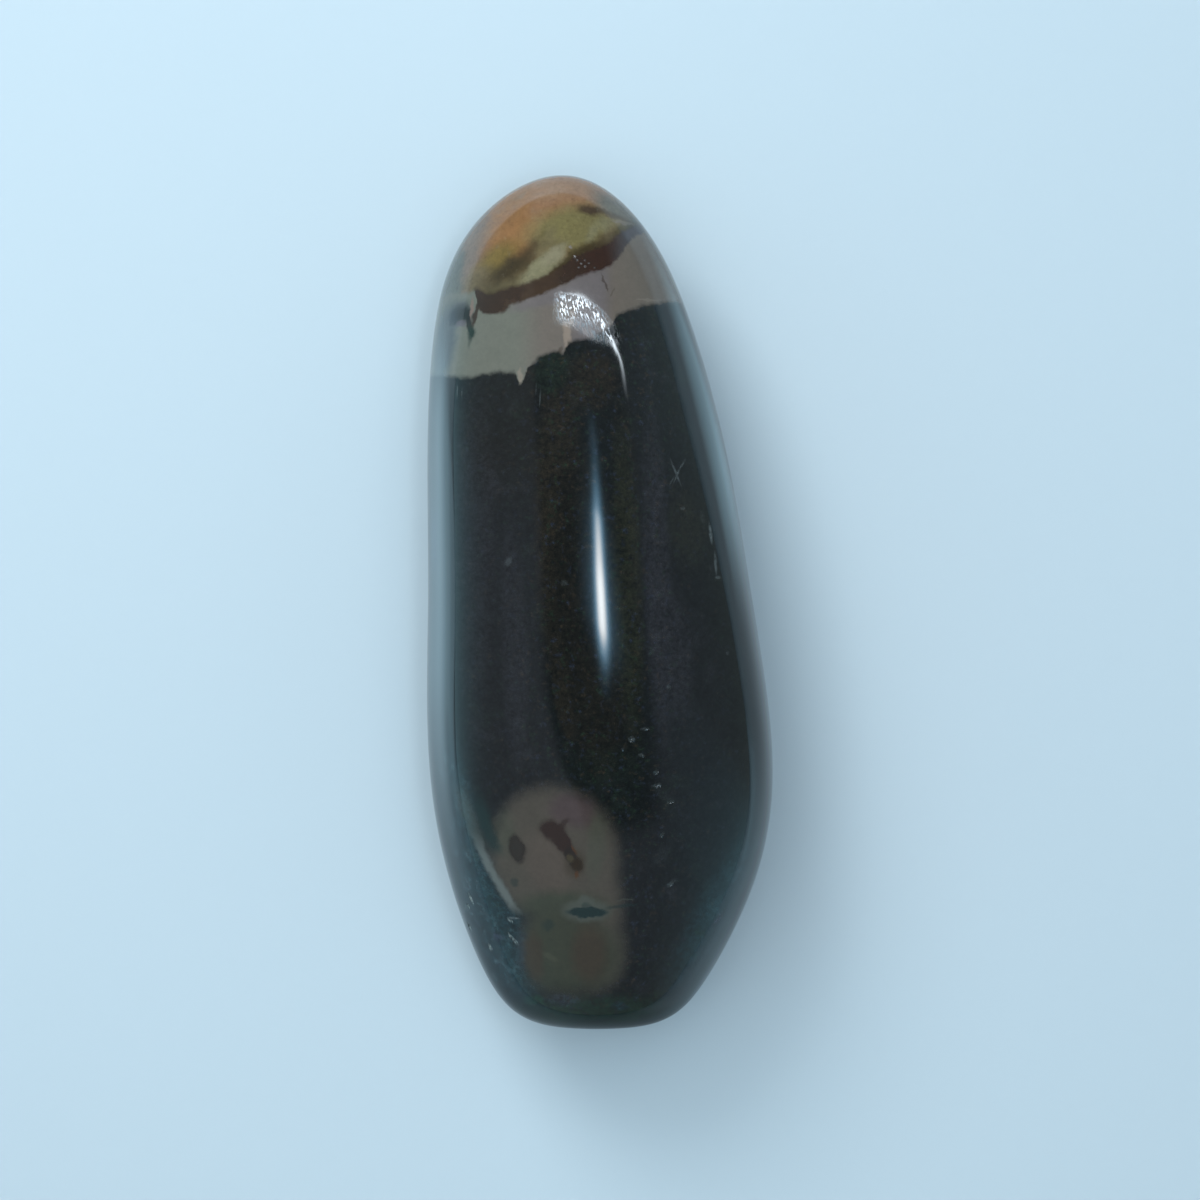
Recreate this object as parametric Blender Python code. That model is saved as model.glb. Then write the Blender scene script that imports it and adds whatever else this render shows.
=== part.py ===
"""Polychrome jasper freeform: one hand-sized polished stone, resting on the small ground flat of its back.

All constants are in millimetres and degrees. +Y runs along the stone to its narrow coloured cap, +X to the
right and +Z up through the polished crown. The origin is below the middle of the stone, on the rest flat.
"""

import bmesh
import bpy
import numpy as np

MM = 0.001

# Stations across the length: (y, left edge, right edge) of the outline seen from above.
HALF_LENGTH = 75.0
OUTLINE = (
    (74.0, -11.7, -1.4),
    (69.0, -19.4, 5.4),
    (62.0, -24.7, 10.5),
    (52.0, -28.3, 15.2),
    (40.0, -29.6, 19.0),
    (26.0, -30.0, 22.4),
    (10.0, -30.0, 25.3),
    (-6.0, -30.1, 28.0),
    (-22.0, -30.0, 30.1),
    (-34.0, -29.3, 30.3),
    (-45.0, -27.3, 28.5),
    (-55.0, -24.3, 25.3),
    (-64.0, -20.7, 20.4),
    (-70.0, -17.0, 15.9),
    (-74.0, -11.0, 10.8),
)
OUTLINE_TERMS = 7

# Stations along the side view: (y, crown height, back height). The back is ground off at height 0.
SIDE_VIEW = (
    (74.0, 24.2, 15.0),
    (62.0, 33.2, 7.0),
    (44.0, 39.8, 1.8),
    (26.0, 43.0, -0.7),
    (6.0, 44.5, -1.5),
    (-14.0, 43.9, -1.5),
    (-34.0, 41.4, -0.8),
    (-52.0, 37.4, 1.4),
    (-64.0, 33.4, 4.6),
    (-74.0, 27.0, 11.5),
)
SIDE_TERMS = 4

# The cap end is round like an ellipse; the base end is blunter.
CAP_ROUNDNESS = 2.0
BASE_ROUNDNESS = 3.3
ROUNDNESS_BLEND = 0.7

# Soft ridges between the broad front and the two side walls, each as: rise as a share of the radius, section
# angle from +X, spread of that angle, and where it fades in and out by angle from the cap end.
LEFT_RIDGE = (0.10, 136.0, 16.0, (35.0, 70.0), (108.0, 142.0))
RIGHT_RIDGE = (0.05, 35.0, 20.0, (60.0, 95.0), (115.0, 145.0))

# Low shoulder across the front below the cap, by angle from the cap end of the long axis.
SHOULDER_RISE = 0.02
SHOULDER_ANGLE = 52.0
SHOULDER_SPREAD = 12.0
SHOULDER_MIDDLE = 80.0
SHOULDER_WIDTH = 45.0

# Facets from corner to corner: round the stone, and along it.
CELLS_ROUND = 16
CELLS_LONG = 36
WELD = 1e-6


def smooth_step(low, high, value):
    t = np.clip((value - low) / (high - low), 0.0, 1.0)
    return t * t * (3.0 - 2.0 * t)


def bell(value, middle, spread):
    return np.exp(-(((value - middle) / spread) ** 2))


def end_profile(along):
    """Share of the half length, and of the half width, reached in a direction this far along the axis."""
    blend = smooth_step(-ROUNDNESS_BLEND, ROUNDNESS_BLEND, along)
    power = BASE_ROUNDNESS + (CAP_ROUNDNESS - BASE_ROUNDNESS) * blend
    across = np.sqrt(np.maximum(1.0 - along * along, 0.0))
    reach = (np.abs(along) ** power + across**power) ** (-1.0 / power)
    return along * reach, across * reach


def fit_pair(stations, terms):
    """Smooth curves for half the distance between two edges, without the end rounding, and for their middle."""
    table = np.array(stations)
    share = table[:, 0] / HALF_LENGTH
    lengths, rings = end_profile(np.cos(np.linspace(np.pi, 0.0, 2001)))
    ring = np.interp(share, lengths, rings)
    low = table[:, 1:].min(axis=1)
    high = table[:, 1:].max(axis=1)
    curve = np.polynomial.Chebyshev.fit
    half = curve(share, (high - low) / 2.0 / ring, terms, domain=[-1, 1], w=ring)
    middle = curve(share, (high + low) / 2.0, terms, domain=[-1, 1], w=ring)
    return half, middle


HALF_WIDTH, SIDEWAYS = fit_pair(OUTLINE, OUTLINE_TERMS)
HALF_DEPTH, UPWARDS = fit_pair(SIDE_VIEW, SIDE_TERMS)


def ridge_rise(polar, section, ridge):
    rise, angle, spread, fade_in, fade_out = ridge
    reach = smooth_step(*fade_in, polar) * (1.0 - smooth_step(*fade_out, polar))
    return rise * bell(section, angle, spread) * reach


def fullness(polar, section):
    """Rise of the soft ridges and of the shoulder over the plain rounded section."""
    ridges = ridge_rise(polar, section, LEFT_RIDGE) + ridge_rise(polar, section, RIGHT_RIDGE)
    shoulder = SHOULDER_RISE * bell(polar, SHOULDER_ANGLE, SHOULDER_SPREAD)
    return 1.0 + ridges + shoulder * bell(section, SHOULDER_MIDDLE, SHOULDER_WIDTH)


def stone_surface(directions):
    """Points of the stone's surface, in millimetres, for unit directions from its middle."""
    along = directions[:, 1]
    section = np.arctan2(directions[:, 2], directions[:, 0])
    polar = np.degrees(np.arccos(np.clip(along, -1.0, 1.0)))
    share, ring = end_profile(along)
    ring = ring * fullness(polar, np.degrees(section))
    x = SIDEWAYS(share) + HALF_WIDTH(share) * ring * np.cos(section)
    z = UPWARDS(share) + HALF_DEPTH(share) * ring * np.sin(section)
    return np.stack([x, HALF_LENGTH * share, z], axis=1)


def cube_sheet(axis, side, cells_u, cells_v):
    """One face of a cube as a grid of directions, evenly spaced in angle, with its quads facing outwards."""
    u = np.tan(np.linspace(-1.0, 1.0, cells_u + 1) * np.pi / 4.0)
    v = np.tan(np.linspace(-1.0, 1.0, cells_v + 1) * np.pi / 4.0)
    grid_u, grid_v = np.meshgrid(u, v, indexing="ij")
    points = np.empty((grid_u.size, 3))
    points[:, axis] = side
    points[:, (axis + 1) % 3] = grid_u.ravel()
    points[:, (axis + 2) % 3] = grid_v.ravel()
    corner = (np.arange(cells_u)[:, None] * (cells_v + 1) + np.arange(cells_v)).ravel()
    quads = np.stack([corner, corner + cells_v + 1, corner + cells_v + 2, corner + 1], axis=1)
    return points, quads if side > 0 else quads[:, ::-1]


def stone_mesh():
    """The whole rounded stone as one closed mesh, before its back is ground flat."""
    cells = (CELLS_ROUND, CELLS_LONG, CELLS_ROUND)
    bm = bmesh.new()
    for axis in range(3):
        for side in (-1.0, 1.0):
            points, quads = cube_sheet(axis, side, cells[(axis + 1) % 3], cells[(axis + 2) % 3])
            verts = [bm.verts.new(point) for point in points]
            for quad in quads:
                bm.faces.new([verts[index] for index in quad])
    bmesh.ops.remove_doubles(bm, verts=bm.verts, dist=WELD)
    directions = np.array([vert.co for vert in bm.verts])
    directions /= np.linalg.norm(directions, axis=1)[:, None]
    for vert, point in zip(bm.verts, stone_surface(directions)):
        vert.co = point * MM
    bmesh.ops.triangulate(bm, faces=bm.faces)
    return bm


def grind_rest_flat(bm):
    """Cuts the back off at height 0 and closes it with one flat face."""
    everything = bm.verts[:] + bm.edges[:] + bm.faces[:]
    up = (0.0, 0.0, 1.0)
    cut = bmesh.ops.bisect_plane(
        bm, geom=everything, dist=WELD, plane_co=(0.0, 0.0, 0.0), plane_no=up, clear_inner=True
    )
    rim = [edge for edge in cut["geom_cut"] if isinstance(edge, bmesh.types.BMEdge)]
    for edge in rim:
        for vert in edge.verts:
            vert.co.z = 0.0
    bmesh.ops.edgeloop_fill(bm, edges=rim)
    bmesh.ops.recalc_face_normals(bm, faces=bm.faces)


def centre_over_origin(bm):
    corners = np.array([vert.co for vert in bm.verts])
    middle = (corners.min(axis=0) + corners.max(axis=0)) / 2.0
    bmesh.ops.translate(bm, verts=bm.verts, vec=(-middle[0], -middle[1], 0.0))


def polished_jasper():
    material = bpy.data.materials.new("polished_jasper")
    material.use_nodes = True
    shader = material.node_tree.nodes["Principled BSDF"]
    shader.inputs["Base Color"].default_value = (0.03, 0.035, 0.036, 1.0)
    shader.inputs["Roughness"].default_value = 0.12
    return material


for leftover in list(bpy.data.objects):
    bpy.data.objects.remove(leftover)

body = stone_mesh()
grind_rest_flat(body)
centre_over_origin(body)
mesh = bpy.data.meshes.new("stone")
body.to_mesh(mesh)
body.free()
stone = bpy.data.objects.new("stone", mesh)
stone.data.materials.append(polished_jasper())
bpy.context.scene.collection.objects.link(stone)
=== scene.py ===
"""Looks of the polychrome jasper freeform: a fine mesh, its coloured stone, light and a camera above.

Lengths are in millimetres and angles in degrees until they reach Blender, which takes metres and radians.
+Y runs to the coloured cap, +X to the right of the polished front and +Z up through it.
"""

import math

import bmesh
import bpy
import numpy as np
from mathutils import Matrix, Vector


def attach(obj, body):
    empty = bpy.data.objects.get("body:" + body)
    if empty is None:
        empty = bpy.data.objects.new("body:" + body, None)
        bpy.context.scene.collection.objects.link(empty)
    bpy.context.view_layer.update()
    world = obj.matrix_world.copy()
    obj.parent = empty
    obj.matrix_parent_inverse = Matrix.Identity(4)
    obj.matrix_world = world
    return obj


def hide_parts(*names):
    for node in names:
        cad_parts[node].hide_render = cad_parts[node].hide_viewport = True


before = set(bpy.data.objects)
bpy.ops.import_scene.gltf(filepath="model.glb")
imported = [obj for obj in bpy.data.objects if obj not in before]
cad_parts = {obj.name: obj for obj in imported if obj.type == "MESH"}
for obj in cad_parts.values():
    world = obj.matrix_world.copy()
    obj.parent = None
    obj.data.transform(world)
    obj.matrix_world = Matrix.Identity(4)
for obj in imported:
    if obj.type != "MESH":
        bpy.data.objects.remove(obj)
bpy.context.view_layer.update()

MM = 0.001

# ---- shape of the stone, as in its solid

HALF_LENGTH = 75
OUTLINE = (  # (y, left edge, right edge) seen from above
    (74, -11.7, -1.4), (69, -19.4, 5.4), (62, -24.7, 10.5), (52, -28.3, 15.2), (40, -29.6, 19),
    (26, -30, 22.4), (10, -30, 25.3), (-6, -30.1, 28), (-22, -30, 30.1), (-34, -29.3, 30.3),
    (-45, -27.3, 28.5), (-55, -24.3, 25.3), (-64, -20.7, 20.4), (-70, -17, 15.9), (-74, -11, 10.8),
)
OUTLINE_TERMS = 7
END_SAMPLES = 2001
SIDE_VIEW = (  # (y, crown height, back height)
    (74, 24.2, 15), (62, 33.2, 7), (44, 39.8, 1.8), (26, 43, -0.7), (6, 44.5, -1.5), (-14, 43.9, -1.5),
    (-34, 41.4, -0.8), (-52, 37.4, 1.4), (-64, 33.4, 4.6), (-74, 27, 11.5),
)
SIDE_TERMS = 4
CAP_ROUNDNESS = 2
BASE_ROUNDNESS = 3.3
ROUNDNESS_BLEND = 0.7

# Rise as a share of the radius, section angle from +X, its spread, and the fades by angle from the cap end.
LEFT_RIDGE = (0.1, 136, 16, (35, 70), (108, 142))
RIGHT_RIDGE = (0.05, 35, 20, (60, 95), (115, 145))
SHOULDER_RISE = 0.02
SHOULDER_ANGLE = 52
SHOULDER_SPREAD = 12
SHOULDER_MIDDLE = 80
SHOULDER_WIDTH = 45

# Fine mesh: cells from corner to corner, round the stone and along it, and cuts of each edge beside a chip.
CELLS_ROUND = 84
CELLS_LONG = 230
CUTS_AT_DAMAGE = 2
WELD = 1e-6
PROBE = 1e-3
# Directions looked at to centre the stone and to find the height of its front.
POLAR_SAMPLES = 361
SECTION_SAMPLES = 721
FRONT_ABOVE = 20

# Dents in the polish: x, y, half length, half width, turn from +X, depth.
PITS = (
    (5.4, -23.4, 0.62, 0.42, 20, 0.2), (7.7, -21.7, 0.85, 0.26, 175, 0.12),
    (7.1, -26.2, 0.75, 0.26, 160, 0.14), (4, -25.2, 0.35, 0.25, 0, 0.1), (9.6, -29.2, 0.5, 0.36, 60, 0.14),
    (9.8, -31.4, 0.95, 0.32, 10, 0.16), (11.8, -14.5, 0.5, 0.4, 0, 0.08), (12.2, -34.3, 1.1, 0.28, 10, 0.14),
    (10.7, -40, 0.5, 0.35, 90, 0.14), (12.3, -48.5, 0.8, 0.4, 30, 0.12), (-4.3, 59.4, 0.35, 0.3, 0, 0.12),
)
CHIPS = (
    (-22.4, -51.5, 1.15, 0.45, 120, 0.3), (-22.9, -53, 0.6, 0.45, 60, 0.25),
    (-14.9, -58.4, 1.35, 0.34, 135, 0.28), (-19.1, -60.1, 0.6, 0.45, 100, 0.25),
    (-15.6, -55, 0.9, 0.24, 165, 0.2), (-22.8, -56.8, 0.8, 0.4, 110, 0.25),
)
DAMAGE_MARGIN = 1.5
DAMAGE_PROBE = 0.02
# How far the rim of a dent wanders, as a share of its size, and how fast it does across x and y.
RIM_WANDER = 0.18
RIM_PACE = (9, 5)
# A dent this deep looks fully broken if it is a chip, and this much as broken if it is only a pit.
BROKEN_DEPTH = 0.08
PIT_DULL = 0.14


def smooth_step(low, high, value):
    t = np.clip((value - low) / (high - low), 0, 1)
    return t * t * (3 - 2 * t)


def bell(value, middle, spread):
    return np.exp(-(((value - middle) / spread) ** 2))


def end_profile(along):
    """Share of the half length, and of the half width, reached in a direction this far along the axis."""
    blend = smooth_step(-ROUNDNESS_BLEND, ROUNDNESS_BLEND, along)
    power = BASE_ROUNDNESS + (CAP_ROUNDNESS - BASE_ROUNDNESS) * blend
    across = np.sqrt(np.maximum(1 - along * along, 0))
    reach = (np.abs(along) ** power + across**power) ** (-1 / power)
    return along * reach, across * reach


def fit_pair(stations, terms):
    """Smooth curves for half the gap between two edges, without the end rounding, and for their middle."""
    table = np.array(stations)
    share = table[:, 0] / HALF_LENGTH
    lengths, rings = end_profile(np.cos(np.linspace(np.pi, 0, END_SAMPLES)))
    ring = np.interp(share, lengths, rings)
    low = table[:, 1:].min(axis=1)
    high = table[:, 1:].max(axis=1)
    curve = np.polynomial.Chebyshev.fit
    half = curve(share, (high - low) / 2 / ring, terms, domain=[-1, 1], w=ring)
    middle = curve(share, (high + low) / 2, terms, domain=[-1, 1], w=ring)
    return half, middle


HALF_WIDTH, SIDEWAYS = fit_pair(OUTLINE, OUTLINE_TERMS)
HALF_DEPTH, UPWARDS = fit_pair(SIDE_VIEW, SIDE_TERMS)


def ridge_rise(polar, section, ridge):
    rise, angle, spread, fade_in, fade_out = ridge
    reach = smooth_step(*fade_in, polar) * (1 - smooth_step(*fade_out, polar))
    return rise * bell(section, angle, spread) * reach


def fullness(polar, section):
    """Rise of the soft ridges and of the shoulder over the plain rounded section."""
    ridges = ridge_rise(polar, section, LEFT_RIDGE) + ridge_rise(polar, section, RIGHT_RIDGE)
    shoulder = SHOULDER_RISE * bell(polar, SHOULDER_ANGLE, SHOULDER_SPREAD)
    return 1 + ridges + shoulder * bell(section, SHOULDER_MIDDLE, SHOULDER_WIDTH)


def stone_surface(directions):
    """Points of the stone's surface, in millimetres, for unit directions from its middle."""
    along = directions[:, 1]
    section = np.arctan2(directions[:, 2], directions[:, 0])
    polar = np.degrees(np.arccos(np.clip(along, -1, 1)))
    share, ring = end_profile(along)
    ring = ring * fullness(polar, np.degrees(section))
    x = SIDEWAYS(share) + HALF_WIDTH(share) * ring * np.cos(section)
    z = UPWARDS(share) + HALF_DEPTH(share) * ring * np.sin(section)
    return np.stack([x, HALF_LENGTH * share, z], axis=1)


def unit(vectors):
    return vectors / np.linalg.norm(vectors, axis=1)[:, None]


def surface_samples():
    """Many points of the surface, all round, and the shift that centres their box over the origin."""
    polar, section = np.meshgrid(
        np.radians(np.linspace(0, 180, POLAR_SAMPLES)),
        np.radians(np.linspace(-180, 180, SECTION_SAMPLES)),
    )
    ring = np.sin(polar)
    directions = np.stack([ring * np.cos(section), np.cos(polar), ring * np.sin(section)], axis=-1)
    points = stone_surface(directions.reshape(-1, 3))
    middle = (points.min(axis=0) + points.max(axis=0)) / 2
    shift = np.array([middle[0], middle[1], 0])
    return points - shift, shift


SAMPLES, SHIFT = surface_samples()
FRONT = SAMPLES[SAMPLES[:, 2] > FRONT_ABOVE]


def front_height(x, y):
    """Height of the polished front at a place, from the nearest of many points of it."""
    return FRONT[np.argmin(np.hypot(FRONT[:, 0] - x, FRONT[:, 1] - y)), 2]


def surface_normals(directions):
    """Outward normals of the smooth surface, from two short steps across it."""
    helper = np.where(np.abs(directions[:, :1]) < 0.7, [[1, 0, 0]], [[0, 1, 0]])
    first = unit(np.cross(directions, helper))
    second = np.cross(directions, first)
    steps = []
    for tangent in (first, second):
        ahead = stone_surface(unit(directions + PROBE * tangent))
        behind = stone_surface(unit(directions - PROBE * tangent))
        steps.append(ahead - behind)
    return unit(np.cross(steps[0], steps[1]))


def cube_sheet(axis, side, cells_u, cells_v):
    """One face of a cube as a grid of directions, even in angle, with its quads facing outwards."""
    u = np.tan(np.linspace(-1, 1, cells_u + 1) * np.pi / 4)
    v = np.tan(np.linspace(-1, 1, cells_v + 1) * np.pi / 4)
    grid_u, grid_v = np.meshgrid(u, v, indexing="ij")
    points = np.empty((grid_u.size, 3))
    points[:, axis] = side
    points[:, (axis + 1) % 3] = grid_u.ravel()
    points[:, (axis + 2) % 3] = grid_v.ravel()
    corner = (np.arange(cells_u)[:, None] * (cells_v + 1) + np.arange(cells_v)).ravel()
    quads = np.stack([corner, corner + cells_v + 1, corner + cells_v + 2, corner + 1], axis=1)
    return points, quads if side > 0 else quads[:, ::-1]


def direction_mesh():
    """A closed mesh of directions from the middle of the stone: the six faces of a cube, welded."""
    cells = (CELLS_ROUND, CELLS_LONG, CELLS_ROUND)
    bm = bmesh.new()
    for axis in range(3):
        for side in (-1, 1):
            points, quads = cube_sheet(axis, side, cells[(axis + 1) % 3], cells[(axis + 2) % 3])
            verts = [bm.verts.new(point) for point in points]
            for quad in quads.tolist():
                bm.faces.new([verts[index] for index in quad])
    bmesh.ops.remove_doubles(bm, verts=bm.verts, dist=WELD)
    return bm


def directions_of(bm):
    return unit(np.array([vert.co for vert in bm.verts]))


class Dent:
    """A small hollow in the polish, placed on the front where its x and y say."""

    def __init__(self, x, y, half_length, half_width, turn, depth):
        self.centre = np.array([x, y, front_height(x, y)])
        self.size = half_length
        self.slim = half_length / half_width
        self.depth = depth
        angle = math.radians(turn)
        self.along = np.array([math.cos(angle), math.sin(angle), 0])

    def near(self, points):
        return np.linalg.norm(points - self.centre, axis=1) < self.size * DAMAGE_MARGIN

    def hollow(self, points):
        """How deep the hollow is at each point, with a rim that wanders a little."""
        offset = points - self.centre
        along = offset @ self.along
        across = np.sqrt(np.maximum((offset**2).sum(axis=1) - along**2, 0)) * self.slim
        wander = np.sin(RIM_PACE[0] * offset[:, 0] + RIM_PACE[1] * offset[:, 1] + self.centre[0])
        reach = np.hypot(along, across) / (self.size * (1 + RIM_WANDER * wander))
        return self.depth * np.clip(1 - reach**2, 0, 1)


def total_hollow(points, dents):
    return sum(dent.hollow(points) for dent in dents)


def hollow_slope(points, dents):
    """How fast the dents deepen along x, y and z."""
    slopes = []
    for step in np.eye(3) * DAMAGE_PROBE:
        change = total_hollow(points + step, dents) - total_hollow(points - step, dents)
        slopes.append(change / (2 * DAMAGE_PROBE))
    return np.stack(slopes, axis=1)


def brokenness(points, dents):
    """1 in a deep chip, less in a pit, 0 where the polish is whole."""
    pits, chips = dents[: len(PITS)], dents[len(PITS) :]
    deep = np.clip(total_hollow(points, chips) / BROKEN_DEPTH, 0, 1)
    shallow = np.clip(total_hollow(points, pits) / BROKEN_DEPTH, 0, 1)
    return np.maximum(deep, shallow * PIT_DULL)


def make_stone():
    """The fine mesh: the smooth stone with its dents, its flat to rest on and true normals."""
    bm = direction_mesh()
    points = stone_surface(directions_of(bm)) - SHIFT
    dents = [Dent(*numbers) for numbers in PITS + CHIPS]
    damaged = np.any([dent.near(points) for dent in dents], axis=0)
    bm.verts.ensure_lookup_table()
    hurt = {edge for index in np.nonzero(damaged)[0] for edge in bm.verts[index].link_edges}
    bmesh.ops.subdivide_edges(bm, edges=list(hurt), cuts=CUTS_AT_DAMAGE, use_grid_fill=True)
    directions = directions_of(bm)
    points = stone_surface(directions) - SHIFT
    normals = surface_normals(directions)
    slope = hollow_slope(points, dents)
    broken_share = brokenness(points, dents)
    points -= normals * total_hollow(points, dents)[:, None]
    normals = unit(normals + slope - (slope * normals).sum(axis=1)[:, None] * normals)
    on_flat = points[:, 2] < 0
    normals[on_flat] = (0, 0, -1)
    points[on_flat, 2] = 0
    for vert, point in zip(bm.verts, points * MM):
        vert.co = point
    mesh = bpy.data.meshes.new("polished_stone")
    bm.to_mesh(mesh)
    bm.free()
    mesh.shade_smooth()
    mesh.normals_split_custom_set_from_vertices(normals)
    broken = mesh.attributes.new("broken", "FLOAT", "POINT")
    broken.data.foreach_set("value", broken_share.astype(np.float32))
    return link(bpy.data.objects.new("polished_stone", mesh))


# ---- writing materials as arithmetic


class Value:
    """One number inside a material. Arithmetic on it adds the matching nodes."""

    def __init__(self, book, socket):
        self.book = book
        self.socket = socket

    def __add__(self, other):
        return self.book.math("ADD", self, other)

    def __sub__(self, other):
        return self.book.math("SUBTRACT", self, other)

    def __rsub__(self, other):
        return self.book.math("SUBTRACT", other, self)

    def __mul__(self, other):
        return self.book.math("MULTIPLY", self, other)

    __radd__ = __add__
    __rmul__ = __mul__


class NodeBook:
    """Short names for the nodes of one material or world."""

    def __init__(self, tree):
        self.tree = tree

    def node(self, kind, **settings):
        node = self.tree.nodes.new("ShaderNode" + kind)
        for name, value in settings.items():
            setattr(node, name, value)
        return node

    def feed(self, socket, value):
        if isinstance(value, Value):
            self.tree.links.new(value.socket, socket)
        else:
            socket.default_value = value

    def feed_all(self, node, values):
        for name, value in values.items():
            self.feed(node.inputs[name], value)

    def math(self, operation, *values, kind="Math"):
        node = self.node(kind, operation=operation)
        for socket, value in zip(node.inputs, values):
            self.feed(socket, value)
        return Value(self, node.outputs[0])

    def smooth(self, value, low, high, top=1):
        """0 at low, top at high, eased between; low may be above high."""
        node = self.node("MapRange", interpolation_type="SMOOTHSTEP")
        self.feed_all(node, {"Value": value, "From Min": low, "From Max": high, "To Max": top})
        return Value(self, node.outputs["Result"])

    def noise(self, point, size, detail=2, roughness=0.5, distortion=0):
        """Noise about 0, mostly within 1 either way, with lumps of this size."""
        node = self.node("TexNoise", noise_dimensions="3D")
        self.feed_all(node, {"Vector": point, "Scale": 1 / size, "Detail": detail})
        self.feed_all(node, {"Roughness": roughness, "Distortion": distortion})
        return (Value(self, node.outputs["Fac"]) - 0.5) * 4

    def curve(self, value, points):
        """A curve through points, flat beyond the first and the last."""
        xs, ys = np.array(points, float).T
        node = self.node("FloatCurve")
        line = node.mapping.curves[0]
        node.mapping.extend = "HORIZONTAL"
        spots = np.stack([(xs - xs[0]) / np.ptp(xs), (ys - ys.min()) / np.ptp(ys)], axis=1)
        while len(line.points) < len(spots):
            line.points.new(0.5, 0.5)
        for spot, (across, up) in zip(line.points, spots):
            spot.location = (across, up)
            spot.handle_type = "AUTO_CLAMPED"
        node.mapping.update()
        share = self.math("MULTIPLY_ADD", value, 1 / np.ptp(xs), -xs[0] / np.ptp(xs))
        self.feed(node.inputs["Value"], share)
        return self.math("MULTIPLY_ADD", Value(self, node.outputs["Value"]), np.ptp(ys), ys.min())

    def move(self, point, location=(0, 0, 0), turn=0, scale=(1, 1, 1)):
        """The point seen from a place that is moved, turned about Z and scaled."""
        node = self.node("Mapping", vector_type="TEXTURE")
        rotation = (0, 0, math.radians(turn))
        self.feed_all(node, {"Vector": point, "Location": location, "Rotation": rotation, "Scale": scale})
        return Value(self, node.outputs[0])

    def spot(self, point, centre, radii, turn=0):
        """1 at the centre of an ellipsoid, falling evenly to 0 on its surface and outside."""
        node = self.node("TexGradient", gradient_type="SPHERICAL")
        node.texture_mapping.vector_type = "TEXTURE"
        node.texture_mapping.translation = centre
        node.texture_mapping.rotation = (0, 0, math.radians(turn))
        node.texture_mapping.scale = radii
        self.feed(node.inputs["Vector"], point)
        return Value(self, node.outputs["Fac"])

    def split(self, point):
        node = self.node("SeparateXYZ")
        self.feed(node.inputs[0], point)
        return [Value(self, output) for output in node.outputs]

    def scale(self, shade, share):
        """A colour made brighter or darker."""
        node = self.node("HueSaturation")
        self.feed_all(node, {"Color": shade, "Value": share})
        return Value(self, node.outputs["Color"])

    def mix(self, low, high, share):
        """Goes from one colour to another as share goes from 0 to 1."""
        node = self.node("Mix", data_type="RGBA")
        self.feed(node.inputs[0], share)
        self.feed(node.inputs[6], low)
        self.feed(node.inputs[7], high)
        return Value(self, node.outputs[2])


def new_material(name):
    material = bpy.data.materials.new(name)
    material.use_nodes = True
    return material, NodeBook(material.node_tree)


def millimetres(book):
    """The object's own coordinates, in millimetres."""
    place = book.node("TexCoord")
    scale = book.node("VectorMath", operation="SCALE")
    book.feed(scale.inputs[0], Value(book, place.outputs["Object"]))
    scale.inputs["Scale"].default_value = 1 / MM
    return Value(book, scale.outputs[0])


def colour(red, green, blue):
    """The light that Blender works in, for a colour as a screen shows it, 11 to 255."""
    return tuple(((value / 255 + 0.055) / 1.055) ** 2.4 for value in (red, green, blue)) + (1,)


# ---- the jasper

# What the lamps do to a matt colour, and what the polish adds to it, so that colours can be given as seen.
LAMP_LEVEL = (1.23, 1.45, 1.53)
BAND_LEVEL = (1.25, 1.58, 1.74)
GLOSS_VEIL = 0.022
DARK_VEIL = 0.018
LEAST_COLOUR = 0.0008


def seen(red, green, blue, veil=GLOSS_VEIL, level=LAMP_LEVEL):
    """The colour of the stone itself, from how it looks on a screen, 0 to 255, with the polish over it."""
    light = colour(red, green, blue)
    return tuple(max(value - veil, LEAST_COLOUR) / level for value, level in zip(light, level)) + (1,)


BLACK = (0.0024, 0.003, 0.003, 1)
BLACK_BROWN = (0.0088, 0.0064, 0.0038, 1)
BLACK_UMBER = (0.0052, 0.004, 0.0026, 1)
BLACK_GREEN = (0.0048, 0.0078, 0.0046, 1)
BLACK_GREY = (0.0098, 0.0096, 0.0112, 1)
BLACK_OLIVE = (0.01, 0.0098, 0.005, 1)
GRAIN_BROWN = (0.02, 0.013, 0.0075, 1)
GRAIN_GREEN = (0.008, 0.016, 0.008, 1)
GRAIN_BLUE = (0.011, 0.014, 0.023, 1)
TEAL = (0.0068, 0.0175, 0.021, 1)
TEAL_DARK = (0.0025, 0.0068, 0.0088, 1)
TEAL_PALE = (0.04, 0.064, 0.069, 1)
DEEP_GREEN = (0.005, 0.014, 0.008, 1)
VIOLET_GREY = (0.0215, 0.023, 0.037, 1)
VIOLET_BLUE = (0.015, 0.02, 0.036, 1)
SIDE_BROWN = (0.03, 0.019, 0.012, 1)
SIDE_GREY = (0.033, 0.035, 0.036, 1)

GREY_GREEN = seen(113, 122, 115, level=BAND_LEVEL)
GREY_TAN = seen(116, 116, 111, level=BAND_LEVEL)
GREY_MAUVE = seen(112, 113, 115, level=BAND_LEVEL)
GREY_WARM = seen(111, 107, 99)
GREY_BLUE = seen(84, 97, 103, level=BAND_LEVEL)
GREY_PALE = seen(150, 146, 136, level=BAND_LEVEL)
ORANGE = seen(143, 109, 73)
SALMON = seen(146, 115, 87)
TOP_SALMON = seen(150, 125, 100)
TOP_GREY = seen(104, 108, 100)
ROSE_GREY = seen(118, 108, 97)
RIM_GREY = seen(100, 107, 102)
TAN = seen(112, 103, 80)
OLIVE = seen(122, 118, 82)
OLIVE_YELLOW = seen(118, 106, 62)
OLIVE_GREY = seen(114, 109, 83)
OLIVE_DARK = seen(68, 60, 44, DARK_VEIL)
LEAF = seen(129, 129, 103)
LEAF_BRIGHT = seen(140, 138, 115)
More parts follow.
